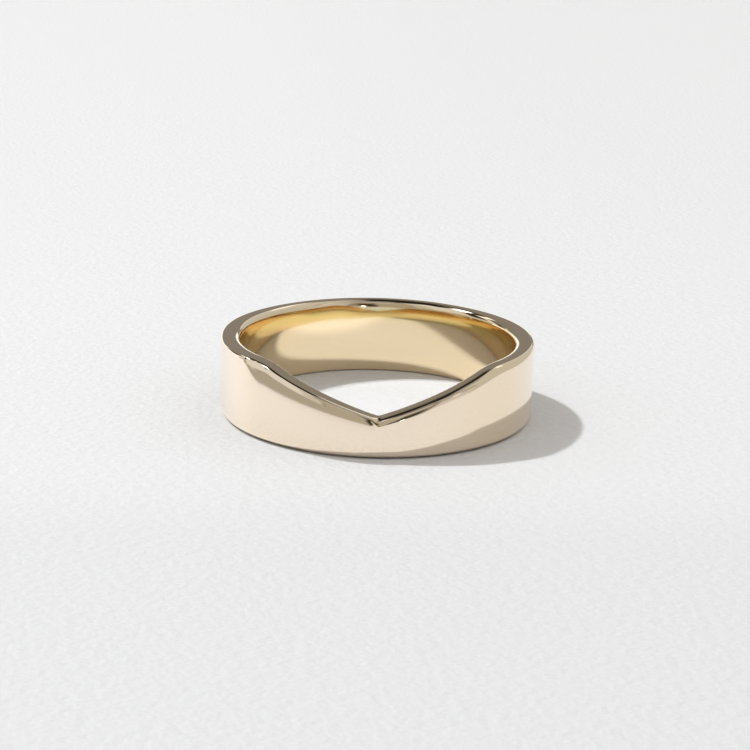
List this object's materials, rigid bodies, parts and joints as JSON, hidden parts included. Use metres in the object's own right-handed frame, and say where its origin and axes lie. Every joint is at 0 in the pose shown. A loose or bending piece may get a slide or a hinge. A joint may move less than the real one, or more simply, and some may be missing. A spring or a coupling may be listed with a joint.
{
  "type": "curved wedding band",
  "caption": "Plain polished ring whose rim dips to a soft V-shaped point at the front, so it can sit against a ring worn beside it.",
  "frame": {"origin": "on the ring's axis, level with the flat base that it rests on", "axes": "+Z along the ring's axis, from the flat base to the notched rim; the notch faces -Y; +X to the right of someone looking at the notch"},
  "size_m": [0.0195, 0.0196, 0.0049],
  "materials": {
    "gold": "polished"
  },
  "bodies": {
    "root": {"band": "gold"}
  },
  "joints": []
}
